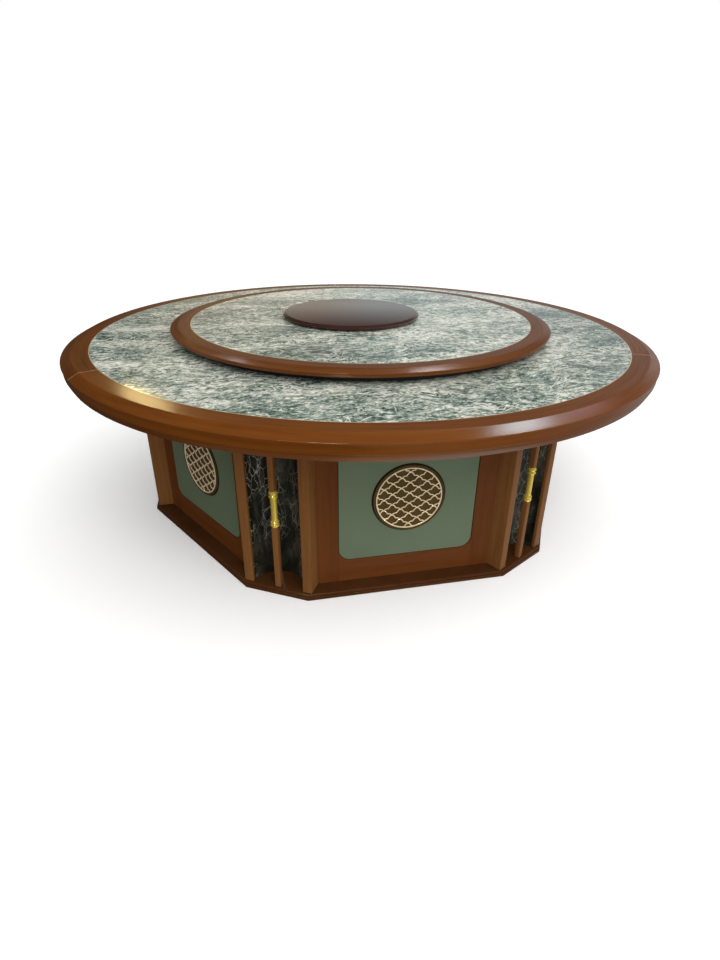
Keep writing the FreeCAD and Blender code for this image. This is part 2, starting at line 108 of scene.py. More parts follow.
# Numbers of straight lengths in round outlines
RIM_STEPS = 110
SEAM_STEPS = 2
TURNTABLE_STEPS = 240
PLATE_STEPS = 160
CIRCLE_STEPS = 96
NICHE_STEPS = 48
SLEEVE_STEPS = 40
CORNER_STEPS = 10


# Mesh helpers

def added(name, data):
    """New object in the scene that shows the given data."""
    made = bpy.data.objects.new(name, data)
    bpy.context.scene.collection.objects.link(made)
    return made


def finished(name, mesh, material, body, replaced=(), sharp=32, place=None):
    """Object from a finished mesh, smooth but for edges sharper than the given angle."""
    piece = added(name, mesh)
    mesh.materials.clear()
    mesh.materials.append(material)
    for polygon in mesh.polygons:
        polygon.use_smooth = True
    mesh.set_sharp_from_angle(angle=math.radians(sharp))
    if place is not None:
        piece.matrix_world = place
    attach(piece, body)
    if replaced:
        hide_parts(*replaced)
    return piece


def arc(centre, radius, start, end, steps):
    """Points of an arc in an outline, angles in degrees."""
    points = []
    for index in range(steps + 1):
        angle = math.radians(start + (end - start) * index / steps)
        points.append((
            centre[0] + radius * math.cos(angle),
            centre[1] + radius * math.sin(angle),
        ))
    return points


def circle_outline(radius, up=0):
    """Closed outline of a circle whose middle is at a height."""
    last = 360 * (CIRCLE_STEPS - 1) / CIRCLE_STEPS
    return arc((0, up), radius, 0, last, CIRCLE_STEPS - 1)


def rectangle(half_width, bottom, top):
    """Outline of an upright rectangle with square corners."""
    return [(-half_width, bottom), (half_width, bottom), (half_width, top), (-half_width, top)]


def rounded_rectangle(half_width, bottom, top, radius):
    """Outline of an upright rectangle with round corners."""
    right = half_width - radius
    return (
        arc((right, bottom + radius), radius, -90, 0, CORNER_STEPS)
        + arc((right, top - radius), radius, 0, 90, CORNER_STEPS)
        + arc((-right, top - radius), radius, 90, 180, CORNER_STEPS)
        + arc((-right, bottom + radius), radius, 180, 270, CORNER_STEPS)
    )


def turned_mesh(name, outline, steps, start=0, span=360, centre=(0, 0)):
    """Surface of revolution about an upright axis from a closed outline of radius and height."""
    full = span == 360
    rings = steps if full else steps + 1
    vertices = []
    for ring in range(rings):
        angle = math.radians(start + span * ring / steps)
        for radius, height in outline:
            x = centre[0] + radius * math.cos(angle)
            y = centre[1] + radius * math.sin(angle)
            vertices.append((x * MM, y * MM, height * MM))
    count = len(outline)
    faces = []
    for ring in range(steps):
        here = ring * count
        there = ((ring + 1) % rings) * count
        for index in range(count):
            after = (index + 1) % count
            faces.append((here + index, there + index, there + after, here + after))
    if not full:
        faces.append(tuple(range(count)))
        faces.append(tuple(reversed(range((rings - 1) * count, rings * count))))
    mesh = bpy.data.meshes.new(name)
    mesh.from_pydata(vertices, [], faces)
    mesh.update()
    return mesh


def outward(mesh):
    """Turn the mesh's faces outwards and merge points that coincide."""
    work = bmesh.new()
    work.from_mesh(mesh)
    bmesh.ops.remove_doubles(work, verts=work.verts, dist=1e-6)
    bmesh.ops.recalc_face_normals(work, faces=work.faces)
    work.to_mesh(mesh)
    work.free()
    return mesh


def baked(piece, name):
    """Mesh of an object with its modifiers and place applied, and the object removed."""
    bpy.context.view_layer.update()
    graph = bpy.context.evaluated_depsgraph_get()
    mesh = bpy.data.meshes.new_from_object(piece.evaluated_get(graph))
    mesh.transform(piece.matrix_world)
    mesh.name = name
    bpy.data.objects.remove(piece)
    return mesh


def softened(node, material, width, place=None):
    """Piece of the base like its CAD node, with its hard edges broken, in the node's place."""
    mesh = nodes[node].data.copy()
    if place is not None:
        mesh.transform(place.inverted())
    work = bmesh.new()
    work.from_mesh(mesh)
    bmesh.ops.remove_doubles(work, verts=work.verts, dist=1e-5)
    bmesh.ops.dissolve_limit(
        work, angle_limit=math.radians(1), verts=work.verts, edges=work.edges)
    work.to_mesh(mesh)
    work.free()
    rough = added(node + "_rough", mesh)
    bevel = rough.modifiers.new("bevel", "BEVEL")
    bevel.width = width * MM
    bevel.segments = 3
    bevel.limit_method = "ANGLE"
    bevel.angle_limit = math.radians(35)
    name = node + "_soft"
    return finished(name, baked(rough, name), material, "base", [node], sharp=40, place=place)


def side_place(number, narrow=False):
    """Turns a piece modelled on the front side round to another long or narrow side."""
    degrees = (number - 1) * 360 / SIDES + (180 / SIDES if narrow else 0)
    return Matrix.Rotation(math.radians(degrees), 4, "Z")


def add_spline(curve, points, closed):
    """Add straight lengths through points, given in millimetres, to a curve."""
    spline = curve.splines.new("POLY")
    spline.points.add(len(points) - 1)
    for point, (x, y, z) in zip(spline.points, points):
        point.co = (x * MM, y * MM, z * MM, 1)
    spline.use_cyclic_u = closed
    return spline


def flat_cut(name, outlines, thick, front, edge):
    """Upright plate cut to outlines of across and up, facing -Y, with softly broken edges."""
    curve = bpy.data.curves.new(name, "CURVE")
    curve.dimensions = "2D"
    curve.fill_mode = "BOTH"
    curve.extrude = (thick / 2 - edge) * MM
    curve.bevel_depth = edge * MM
    curve.bevel_resolution = 2
    curve.offset = -edge * MM
    for outline in outlines:
        add_spline(curve, [(across, up, 0) for across, up in outline], closed=True)
    piece = added(name, curve)
    piece.matrix_world = Matrix.Translation((0, -(front - thick / 2) * MM, 0)) @ UPRIGHT
    return baked(piece, name)


# Material helpers

class Nodes:
    """Helper that adds nodes to one shader tree."""

    def __init__(self, tree):
        self.tree = tree

    def feed(self, socket, source):
        """Link an input to another node's output, or set its value."""
        if isinstance(source, bpy.types.NodeSocket):
            self.tree.links.new(source, socket)
        else:
            socket.default_value = source

    def node(self, kind, output=0, settings=None, **inputs):
        """Add a node, set or link its inputs by name or position, and give one output."""
        made = self.tree.nodes.new("ShaderNode" + kind)
        for key, amount in (settings or {}).items():
            setattr(made, key, amount)
        for key, source in inputs.items():
            by_place = key[0] == "i" and key[1:].isdigit()
            self.feed(made.inputs[int(key[1:]) if by_place else key], source)
        return made.outputs[output]

    def math(self, operation, first, second=0.0):
        """One step of arithmetic on two factors."""
        return self.node("Math", settings={"operation": operation}, i0=first, i1=second)

    def vector_math(self, operation, *sources, output=0):
        """One step of arithmetic on vectors."""
        inputs = {f"i{index}": source for index, source in enumerate(sources)}
        return self.node("VectorMath", output, {"operation": operation}, **inputs)

    def split(self, vector):
        """The three parts of a vector."""
        return self.node("SeparateXYZ", Vector=vector).node.outputs

    def from_axis(self, x, y):
        """Distance from an upright axis."""
        return self.vector_math("LENGTH", self.node("CombineXYZ", X=x, Y=y), output=1)

    def noise(self, where, scale, detail=4.0, roughness=0.55, distortion=0.0):
        """Cloudy noise between 0 and 1."""
        return self.node(
            "TexNoise", Vector=where, Scale=scale, Detail=detail, Roughness=roughness,
            Distortion=distortion)

    def ramp(self, factor, stops, smooth=False):
        """Colours or greys along a factor: stops are (position, colour)."""
        output = self.node("ValToRGB", Fac=factor)
        ramp = output.node.color_ramp
        ramp.interpolation = "EASE" if smooth else "LINEAR"
        while len(ramp.elements) < len(stops):
            ramp.elements.new(0.5)
        for element, (position, colour) in zip(ramp.elements, stops):
            element.position = position
            if not isinstance(colour, tuple):
                colour = (colour, colour, colour)
            element.color = (*colour, 1)
        return output

    def mixed(self, factor, first, second, blend="MIX"):
        """Two colours mixed by a factor, each an output or three numbers."""
        first, second = (
            (*colour, 1) if isinstance(colour, tuple) else colour for colour in (first, second))
        return self.node(
            "Mix", output=2, settings={"data_type": "RGBA", "blend_type": blend},
            i0=factor, i6=first, i7=second)


class Recipe(Nodes):
    """A node material built from the surface shader outwards."""

    def __init__(self, name, **surface):
        self.material = bpy.data.materials.new(name)
        self.material.use_nodes = True
        super().__init__(self.material.node_tree)
        self.shader = self.tree.nodes["Principled BSDF"]
        self.link(**surface)
        self.place = self.node("TexCoord", output=3)

    def link(self, **inputs):
        """Set or link inputs of the surface shader, with _ for a space in their names."""
        for key, source in inputs.items():
            self.feed(self.shader.inputs[key.replace("_", " ")], source)

    def bump(self, height, strength, distance):
        """Give the surface a fine relief."""
        self.link(Normal=self.node("Bump", Height=height, Strength=strength, Distance=distance))

    def stretched(self, scale, turn=(0, 0, 0), source=None):
        """Place coordinates turned, and scaled along each axis."""
        return self.node("Mapping", Vector=source or self.place, Scale=scale, Rotation=turn)

    def ring_place(self, radius):
        """Coordinates that follow a ring: across it, along it and up, broken at the back seam."""
        turned = self.node(
            "VectorRotate", settings={"rotation_type": "Z_AXIS"}, Vector=self.place,
            Angle=math.radians(180 - SEAMS[1]))
        x, y, z = self.split(turned)
        along = self.math("MULTIPLY", self.math("ARCTAN2", y, x), radius)
        return self.node("CombineXYZ", X=self.from_axis(x, y), Y=along, Z=z)

    def rail_place(self, half_width):
        """Coordinates turned a quarter where a frame's rails run between its stiles."""
        x, y, z = self.split(self.place)
        rail = self.math("LESS_THAN", self.math("ABSOLUTE", x), half_width * MM)
        return self.node(
            "Mix", output=1, settings={"data_type": "VECTOR"}, i0=rail,
            i4=self.node("CombineXYZ", X=x, Y=y, Z=z), i5=self.node("CombineXYZ", X=z, Y=y, Z=x))


def times(numbers, shares):
    """Colour or scale with each of its numbers times a share."""
    return tuple(number * share for number, share in zip(numbers, shares))


def wood(name, tint, scale, ring=None, rails=None, roughness=0.4, shine=0.03, coat=0.35):
    """Lacquered wood whose grain runs along the axis with the smallest scale."""
    recipe = Recipe(name, Coat_Weight=coat, Coat_Roughness=0.19, Specular_IOR_Level=shine)
    source = None
    if ring:
        source = recipe.ring_place(ring)
    elif rails:
        source = recipe.rail_place(rails)
    where = recipe.stretched(scale, source=source)
    broad = recipe.noise(where, scale=1.6, detail=3.0, roughness=0.5, distortion=0.6)
    fine = recipe.noise(where, scale=7.0, detail=6.0, roughness=0.62, distortion=0.3)
    tone = recipe.math(
        "ADD", recipe.math("MULTIPLY", broad, 0.6), recipe.math("MULTIPLY", fine, 0.4))
    dark = times(tint, (0.80, 0.74, 0.70))
    light = times(tint, (1.16, 1.20, 1.25))
    grain = recipe.ramp(tone, [(0.34, dark), (0.5, tint), (0.66, light)])

    close = recipe.stretched(times(scale, (3, 3, 3)), source=source)
    pores = recipe.noise(close, scale=16.0, detail=3.0, roughness=0.7)
    pore_mask = recipe.ramp(pores, [(0.60, 0.0), (0.72, 0.35)])
    pore_colour = times(dark, (0.5, 0.5, 0.5))
    recipe.link(
        Base_Color=recipe.mixed(pore_mask, grain, pore_colour),
        Roughness=recipe.ramp(tone, [(0.3, roughness * 1.2), (0.7, roughness * 0.85)]))
    relief = recipe.math("ADD", tone, recipe.math("MULTIPLY", pores, 0.3))
    recipe.bump(relief, strength=0.06, distance=0.0005)
    return recipe.material


def streaked_stone(name, radius, shift):
    """Polished grey-green stone, crowded with short pale streaks, with a painted highlight line at
    its edge.
    """
    edge_highlight_width = 3
    edge_highlight_colour = (0.46, 0.37, 0.24)
    vein_colour = (0.84, 0.82, 0.72)
    recipe = Recipe(name)
    moved = recipe.vector_math("ADD", recipe.place, shift)
    warp = recipe.noise(
        recipe.stretched((1.3, 2.2, 1), source=moved), scale=1.5, detail=4.0, roughness=0.55)
    drift = recipe.vector_math("MULTIPLY_ADD", warp, (0.07, 0.20, 0.0), moved)
    where = recipe.stretched((1.0, 1.9, 1.0), (0, 0, math.radians(9)), drift)

    cloud = recipe.noise(where, scale=2.3, detail=4.0, roughness=0.55, distortion=0.4)
    streaks = recipe.noise(where, scale=31.0, detail=5.0, roughness=0.66, distortion=0.6)
    flecks = recipe.noise(where, scale=80.0, detail=4.0, roughness=0.68, distortion=0.4)
    grain = recipe.math(
        "ADD", recipe.math("MULTIPLY", streaks, 0.55), recipe.math("MULTIPLY", flecks, 0.45))
    drifting = recipe.math("MULTIPLY", recipe.math("SUBTRACT", cloud, 0.5), 0.34)
    ground = recipe.ramp(recipe.math("ADD", grain, drifting), [
        (0.380, (0.020, 0.045, 0.036)), (0.445, (0.085, 0.130, 0.108)),
        (0.495, (0.210, 0.265, 0.222)), (0.545, (0.450, 0.470, 0.395)),
        (0.605, (0.860, 0.850, 0.750))])

    lines = recipe.noise(where, scale=8.0, detail=6.0, roughness=0.62, distortion=1.6)
    ridge = recipe.math("ABSOLUTE", recipe.math("SUBTRACT", lines, 0.5))
    ridge_mask = recipe.ramp(ridge, [(0.0, 0.95), (0.012, 0.6), (0.030, 0.0)])
    patches = recipe.noise(
        recipe.stretched((1.2, 2.0, 1.0), source=drift), scale=3.6, detail=3.0, roughness=0.5)
    patch_mask = recipe.ramp(patches, [(0.42, 0.0), (0.54, 1.0)])
    vein_mask = recipe.math("MULTIPLY", ridge_mask, patch_mask)
    veined = recipe.mixed(vein_mask, ground, vein_colour)

    # Painted highlight: a pale band round the stone's edge, for the light that its edge catches
    x, y, _ = recipe.split(recipe.place)
    edge = recipe.math("GREATER_THAN", recipe.from_axis(x, y), (radius - edge_highlight_width) * MM)
    recipe.link(
        Base_Color=recipe.mixed(edge, veined, edge_highlight_colour),
        Roughness=recipe.ramp(cloud, [(0.35, 0.05), (0.65, 0.09)]))
    return recipe.material


def veined_black_stone(name):
    """Near-black stone, crossed by many fine broken cream veins, for the niches."""
    vein_colour = (0.50, 0.46, 0.37)
    recipe = Recipe(name, Specular_IOR_Level=0.4)
    warp = recipe.noise(recipe.place, scale=26.0, detail=4.0, roughness=0.6)
    drift = recipe.vector_math("MULTIPLY_ADD", warp, (0.024, 0.024, 0.036), recipe.place)
    where = recipe.stretched((1, 1, 0.42), (0, math.radians(30), 0), drift)
    cloud = recipe.noise(where, scale=9.0, detail=7.0, roughness=0.68, distortion=0.3)
    ground = recipe.ramp(cloud, [
        (0.38, (0.005, 0.006, 0.004)), (0.52, (0.020, 0.021, 0.015)),
        (0.68, (0.085, 0.080, 0.058))])

    patches = recipe.noise(where, scale=7.0, detail=4.0, roughness=0.55)
    broken = recipe.ramp(patches, [(0.49, 0.0), (0.62, 1.0)])
    veins = 0.0
    for scale, width, share in ((19.0, 0.020, 0.5), (48.0, 0.060, 0.9)):
        cracks = recipe.node(
            "TexVoronoi", settings={"feature": "DISTANCE_TO_EDGE"}, Vector=where, Scale=scale)
        mask = recipe.ramp(cracks, [(0.0, share), (width * 0.35, share * 0.4), (width, 0.0)])
        veins = recipe.math("MAXIMUM", veins, recipe.math("MULTIPLY", mask, broken))
    recipe.link(
        Base_Color=recipe.mixed(veins, ground, vein_colour),
        Roughness=recipe.ramp(cloud, [(0.35, 0.10), (0.65, 0.16)]))
    return recipe.material


def painted(name, colour, roughness, shine=0.3):
    """Sprayed paint with faint unevenness and orange peel."""
    unevenness = 0.06
    recipe = Recipe(name, Specular_IOR_Level=shine)
    cloud = recipe.noise(recipe.place, scale=3.0, detail=3.0, roughness=0.5)
    low = tuple(part * (1 - unevenness) for part in colour)
    high = tuple(part * (1 + unevenness) for part in colour)
    recipe.link(
        Base_Color=recipe.ramp(cloud, [(0.35, low), (0.65, high)]),
        Roughness=recipe.ramp(cloud, [(0.3, roughness * 0.9), (0.7, roughness * 1.1)]))
    peel = recipe.noise(recipe.place, scale=420.0, detail=2.0, roughness=0.5)
    recipe.bump(peel, strength=0.06, distance=0.0004)
    return recipe.material


def metal(name, colour, tarnish, roughness, metallic=1.0):
    """Metal with slight clouding and fine scratches."""
    recipe = Recipe(name, Metallic=metallic)
    cloud = recipe.noise(recipe.place, scale=40.0, detail=4.0, roughness=0.6)
    recipe.link(
        Base_Color=recipe.ramp(cloud, [(0.35, tarnish), (0.6, colour)]),
        Roughness=recipe.ramp(cloud, [(0.3, roughness * 1.4), (0.65, roughness)]))
    scratches = recipe.noise(recipe.place, scale=900.0, detail=2.0, roughness=0.5)
    recipe.bump(scratches, strength=0.05, distance=0.0002)
    return recipe.material


# Materials

RIM_GRAIN = {"scale": (26, 1.3, 26), "ring": 1.15}
# One rim wood in three tints, one for each length of the rim; the left length's darker tint is
# painted shade, for the lesser light on that side
rim_woods = [
    wood("rim wood right", (0.132, 0.041, 0.0060), **RIM_GRAIN),
    wood("rim wood left painted shade", (0.105, 0.031, 0.0035), **RIM_GRAIN),
    wood("rim wood front", (0.128, 0.037, 0.0040), **RIM_GRAIN),
]
turn_wood = wood("turntable wood", (0.120, 0.038, 0.0070), (26, 1.5, 26), ring=0.76)
post_wood = wood("post wood", (0.185, 0.078, 0.024), (26, 26, 1.3), coat=0.2)
frame_wood = wood(
    "frame wood", (0.110, 0.034, 0.008), (20, 20, 1.1), rails=OPENING_HALF, coat=0.25)
plinth_wood = wood("plinth wood", (0.064, 0.023, 0.007), (3, 3, 26), coat=0.15)
plate_wood = wood(
    "plate wood", (0.040, 0.014, 0.010), (2.0, 22, 22), roughness=0.14, shine=0.5, coat=0.2)
disc_wood = wood(
    "medallion wood", (0.080, 0.052, 0.015), (20, 20, 2.0), roughness=0.45, shine=0.15, coat=0.0)
# Pale line in the joints between the rim's lengths: partly the joints' own light wood, partly
# painted highlight of their edges
seam_wood_and_highlight = wood("seam wood and highlight", (0.52, 0.34, 0.17), (20, 20, 4), coat=0.0)
plain_board = wood("plain board", (0.36, 0.26, 0.15), (4, 20, 20), roughness=0.7, coat=0.0)
top_stone = streaked_stone("top stone", TOP_MARBLE_R, (0.0, 0.0, 0.0))
turn_stone = streaked_stone("turntable stone", TURN_MARBLE_R, (3.7, 1.9, 0.0))
niche_stone = veined_black_stone("niche stone")
green_paint = painted("green paint", (0.120, 0.160, 0.100), roughness=0.42)
black_paint = painted("black paint", (0.008, 0.008, 0.008), roughness=0.5)
# Near-black painted shade for the groove round each medallion and the gap round each panel's field
gap_shade_paint = painted("groove painted shade", (0.010, 0.008, 0.006), roughness=0.6, shine=0.1)
felt = painted("felt", (0.02, 0.02, 0.02), roughness=0.95)
gold = metal("pale gold", (1.0, 0.85, 0.60), (0.95, 0.76, 0.48), roughness=0.40, metallic=0.3)
brass = metal("bright brass", (1.0, 0.74, 0.14), (0.95, 0.66, 0.11), roughness=0.22, metallic=0.6)
steel = metal("zinc plate", (0.60, 0.60, 0.60), (0.45, 0.45, 0.46), roughness=0.35)


# Table top

rim_outline = [
    (TOP_MARBLE_R, TOP),
    (TOP_MARBLE_R, RIM_FOOT),
    # Lower lip
    (1190, RIM_FOOT),
    *arc((1190.5, 675.5), 4.5, -90, -15, 5),
    (1198.5, 682),
    (1201.8, 689),
    # Small step
    (1203.2, 695.4),
    *arc((1204.4, 698.4), 1.4, -60, 0, 3),
    # Upright face
    (1206.3, 706),
    (1207.5, 717),
    (1208.9, 725.5),
    # Nose
    *arc((1206.9, 729.4), 3, -20, 63, 7),
    # Slope
    (1206.7, 732.9),
    (1175.4, 748.7),
    # Flat band
    *arc((1171.6, 745.5), 4.5, 63, 90, 4),
    (1169.5, TOP),
]
# Half the angle that a seam takes up, in degrees
half_seam = math.degrees(SEAM_WIDTH / 2 / TOP_MARBLE_R)
ends = (*SEAMS[1:], SEAMS[0] + 360)
for number, (start, end, rim_wood) in enumerate(zip(SEAMS, ends, rim_woods), start=1):
    length = turned_mesh(
        "rim", rim_outline, RIM_STEPS, start + half_seam, end - start - 2 * half_seam)
    finished(
        f"rim_{number}", outward(length), rim_wood, "base", [f"rim_segment_{number}"], sharp=24)
    line = turned_mesh("seam", rim_outline, SEAM_STEPS, start - half_seam, 2 * half_seam)
    finished(f"seam_line_{number}", outward(line), seam_wood_and_highlight, "base", sharp=24)


# Turntable and flower plate

turn_outline = [
    (TURN_MARBLE_R, TURN_TOP),
    (TURN_MARBLE_R, TURN_RIM_FOOT),
    # Lower edge and step
    (794, TURN_RIM_FOOT),
    *arc((794.5, TURN_TOP - 22), 3, -90, -10, 4),
    (798.3, TURN_TOP - 17.5),
    (798.8, TURN_TOP - 16),
    # Nose
    *arc((799.2, TURN_TOP - 11.8), 2.7, -50, 68, 8),
    # Slope
    (798.6, TURN_TOP - 8.7),
    (773.1, TURN_TOP - 0.8),
    # Flat band
    *arc((770, TURN_TOP - 4), 4, 68, 90, 4),
    (768, TURN_TOP),
]
turn_rim = turned_mesh("turn_rim", turn_outline, TURNTABLE_STEPS)
finished(
    "turntable_rim_turned", outward(turn_rim), turn_wood, "turntable", ["turntable_rim"], sharp=24)

plate_outline = [
    (0, PLATE_FOOT),
    # Foot
    (284, PLATE_FOOT),
    *arc((285, 805), 3.5, -80, 30, 5),
    # Nose
    (289.4, 808),
    *arc((289.8, 813), 5, -60, 80, 9),
    # Shoulder
    (286.5, 818.6),
    *arc((282.5, 818.5), 3.5, 20, 90, 5),
    (0, PLATE_TOP),
]
plate = turned_mesh("plate", plate_outline, PLATE_STEPS, centre=PLATE_CENTRE)
finished("flower_plate_turned", outward(plate), plate_wood, "plate", ["flower_plate"], sharp=28)


# Base

def long_side(number):
    """Wooden frame, painted panel with its round recess, and medallion disc of one long side."""
    place = side_place(number)
    lean = math.cos(math.radians(180 / SIDES))
    half = (FRAME_FRONT / 2 - POST_OUTER) / lean - FRAME_CLEARANCE
    opening = rounded_rectangle(OPENING_HALF, OPENING_LOW, OPENING_HIGH, OPENING_ROUND)
    wide = flat_cut(
        f"frame_{number}", [rectangle(half, PLINTH_TOP, BASE_TOP), opening],
        FRAME_THICK, FRAME_FRONT, edge=1.4)
    finished(wide.name, wide, frame_wood, "base", [f"panel_frame_{number}"], place=place)

    field = rounded_rectangle(
        OPENING_HALF - PANEL_GAP, OPENING_LOW + PANEL_GAP, OPENING_HIGH - PANEL_GAP,
        OPENING_ROUND - PANEL_GAP)
    recess = circle_outline(RECESS_R, MEDALLION_Z)
    panel = flat_cut(f"panel_{number}", [field, recess], PANEL_THICK, PANEL_FRONT, edge=1.2)
    finished(panel.name, panel, green_paint, "base", place=place)
    # The lap behind the field is near-black, painted shade seen through the gap round the field
    behind = rectangle(LAP_HALF, OPENING_LOW - LAP_REACH, OPENING_HIGH + LAP_REACH)
    lap = flat_cut(f"panel_lap_{number}", [behind], LAP_THICK, PANEL_BACK, edge=0.5)
    finished(lap.name, lap, gap_shade_paint, "base", [f"green_panel_{number}"], place=place)

    raised = Matrix.Translation((0, 0, MEDALLION_Z * MM)) @ UPRIGHT
    # The groove round the disc is near-black, painted shade
    groove = turned_mesh(f"medallion_groove_{number}", [
        (0, PANEL_BACK), (GROOVE_R, PANEL_BACK), (GROOVE_R, GROOVE_FRONT), (0, GROOVE_FRONT),
    ], CIRCLE_STEPS)
    groove.transform(raised)
    finished(groove.name, outward(groove), gap_shade_paint, "base", place=place)
    bead_centre = (DISC_R - DISC_BEAD_R, DISC_BEAD_MIDDLE)
    disc = turned_mesh(f"medallion_disc_{number}", [
        (0, GROOVE_FRONT), (DISC_R, GROOVE_FRONT), (DISC_R, DISC_BEAD_MIDDLE),
        # Bead, and its inner foot on the disc
        *arc(bead_centre, DISC_BEAD_R, 0, 180, 7),
        (125.4, 834.2), (124.4, DISC_FRONT), (0, DISC_FRONT),
    ], CIRCLE_STEPS)
    disc.transform(raised)
    return finished(disc.name, outward(disc), disc_wood, "base", place=place)


# One step of a line of the trellis, in shares of half a cell across and up
WAVE = [
    (0.0, 0.0), (0.07, 0.115), (0.15, 0.225), (0.24, 0.305), (0.34, 0.360), (0.44, 0.378),
    (0.53, 0.358), (0.575, 0.440), (0.63, 0.570), (0.70, 0.725), (0.775, 0.855), (0.86, 0.950),
    (0.93, 0.990),
]


def trellis_lines(limit):
    """Scalloped lines of the trellis that lie inside a circle, as lists of across and up."""
    reach = 14
    lines = []
    for side in (1, -1):
        for number in range(-reach, reach + 1):
            line = []
            for step in range(-reach, reach + 1):
                for share_across, share_up in WAVE:
                    across = side * (step + share_across) * CELL_WIDTH / 2
                    up = (step + share_up) * CELL_HEIGHT / 2 + (number + 0.5) * CELL_HEIGHT
                    if math.hypot(across, up) < limit:
                        line.append((across, up))
            if len(line) > 2:
                lines.append(line)
    return lines


def trellis_mesh(name):
    """Gold trellis with its thicker round border, upright about the frame's origin."""
    curve = bpy.data.curves.new(name, "CURVE")
    curve.dimensions = "3D"
    curve.bevel_depth = WIRE_R * MM
    curve.bevel_resolution = 2
    for line in trellis_lines(TRELLIS_R):
        add_spline(curve, [(across, 0, up) for across, up in line], closed=False)
    border = circle_outline(TRELLIS_BORDER_R)
    for point in add_spline(curve, [(across, 0, up) for across, up in border], closed=True).points:
        point.radius = TRELLIS_BORDER_SWELL
    return baked(added(name, curve), name)


def sleeve_mesh(name):
    """Turned brass sleeve: shaft, two rings at the top, a ring and a fat bead at the foot."""
    low = SLEEVE_LOW
    high = SLEEVE_HIGH
    outline = [
        (0, low), (11, low),
        # Fat bead
        *arc((8, low + 8.5), 7.9, -68, 68, 10),
        (10.8, low + 17),
        # Lower ring
        *arc((11.6, low + 20.5), 3.8, -80, 80, 8),
        (11.4, low + 25),
        # Shaft
        (11.1, low + 38), (11.1, high - 38),
        (11.4, high - 27),
        # Two upper rings
        *arc((11.6, high - 22.5), 4.0, -80, 80, 8),
        (11.0, high - 17),
        (11.0, high - 13),
        *arc((11.3, high - 8), 4.6, -80, 80, 8),
        (11.2, high - 2), (11.2, high), (0, high),
    ]
    return outward(turned_mesh(name, outline, SLEEVE_STEPS, centre=(0, -SLAT_AXIS)))


def niche_mesh(name):
    """Half-round lining with a smooth hollow."""
    front = POST_FRONT - POST_STRIP_THICK
    back = NICHE_CENTRE - NICHE_R - NICHE_SHELL
    half = NICHE_R + NICHE_SHELL
    mouth = math.degrees(math.asin((NICHE_CENTRE - front) / NICHE_R))
    outline = [
        *arc((0, -NICHE_CENTRE), NICHE_R, mouth, 180 - mouth, NICHE_STEPS),
        (-half, -front), (-half, -back), (half, -back), (half, -front),
    ]
    count = len(outline)
    low = [(x * MM, y * MM, PLINTH_TOP * MM) for x, y in outline]
    high = [(x * MM, y * MM, BASE_TOP * MM) for x, y in outline]
    faces = [tuple(range(count)), tuple(reversed(range(count, 2 * count)))]
    for index in range(count):
        after = (index + 1) % count
        faces.append((index, after, count + after, count + index))
    mesh = bpy.data.meshes.new(name)
    mesh.from_pydata(low + high, [], faces)
    return outward(mesh)


for node in ("plinth_board", "plinth_moulding"):
    softened(node, plinth_wood, width=1.6)

trellis = trellis_mesh("trellis")
trellis.transform(Matrix.Translation((0, -TRELLIS_MIDDLE * MM, MEDALLION_Z * MM)))
for number in range(1, SIDES + 1):
    long_side(number)
    finished(
        f"trellis_{number}", trellis.copy(), gold, "base", [f"lattice_{number}"], sharp=60,
        place=side_place(number))

    corner = side_place(number, narrow=True)
    sleeve = sleeve_mesh(f"sleeve_{number}")
    finished(
        sleeve.name, sleeve, brass, "base", [f"brass_sleeve_{number}"], sharp=50, place=corner)
    niche = niche_mesh(f"niche_{number}")
    finished(
        niche.name, niche, niche_stone, "base", [f"niche_lining_{number}"], sharp=50, place=corner)
    softened(f"corner_posts_{number}", post_wood, width=2.2, place=corner)
    softened(f"slat_{number}", post_wood, width=1.4, place=corner)
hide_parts("medallion_backs")

# CAD nodes whose shape is right as it is
for node, material in {
    "marble_top": top_stone, "turntable_marble": turn_stone, "turntable_board": black_paint,
    "top_substrate": plain_board, "cabinet_top_board": plain_board, "core_ribs": plain_board,
    "bearing_lower_plate": steel, "bearing_upper_plate": steel, "plate_pads": felt,
}.items():
    nodes[node].data.materials.clear()
    nodes[node].data.materials.append(material)


# Floor, light and camera, in metres

def make_floor():
    """Pale floor that is neither mirrored nor lights the table."""
    half = 40
    corners = [(-half, -half, 0), (half, -half, 0), (half, half, 0), (-half, half, 0)]
    mesh = bpy.data.meshes.new("floor")
    mesh.from_pydata(corners, [], [(0, 1, 2, 3)])
    floor = added("floor", mesh)
    floor.visible_glossy = False
    floor.visible_diffuse = False
    recipe = Recipe(
        "pale floor", Roughness=0.9, Specular_IOR_Level=0.0, Emission_Color=(1, 1, 1, 1),
        Emission_Strength=0.14)
    cloud = recipe.noise(recipe.place, scale=0.6, detail=2.0, roughness=0.5)
    recipe.link(Base_Color=recipe.ramp(cloud, [(0.3, 0.93), (0.7, 0.95)]))
    mesh.materials.append(recipe.material)


def area_light(name, place, target, size, power, colour=(1, 1, 1)):
    """Soft rectangular lamp that the camera doesn't see."""
    data = bpy.data.lights.new(name, "AREA")
    data.shape = "RECTANGLE"
    data.size, data.size_y = size
    data.energy = power
    data.color = colour
    light = added(name, data)
    light.visible_camera = False
    light.location = place
    light.rotation_euler = (Vector(target) - Vector(place)).to_track_quat("-Z", "Y").to_euler()
    return light


def fill(name, place, target, size, power, colour=(1, 1, 1)):
    """Soft lamp that isn't seen in the gloss."""
    area_light(name, place, target, size, power, colour).visible_glossy = False


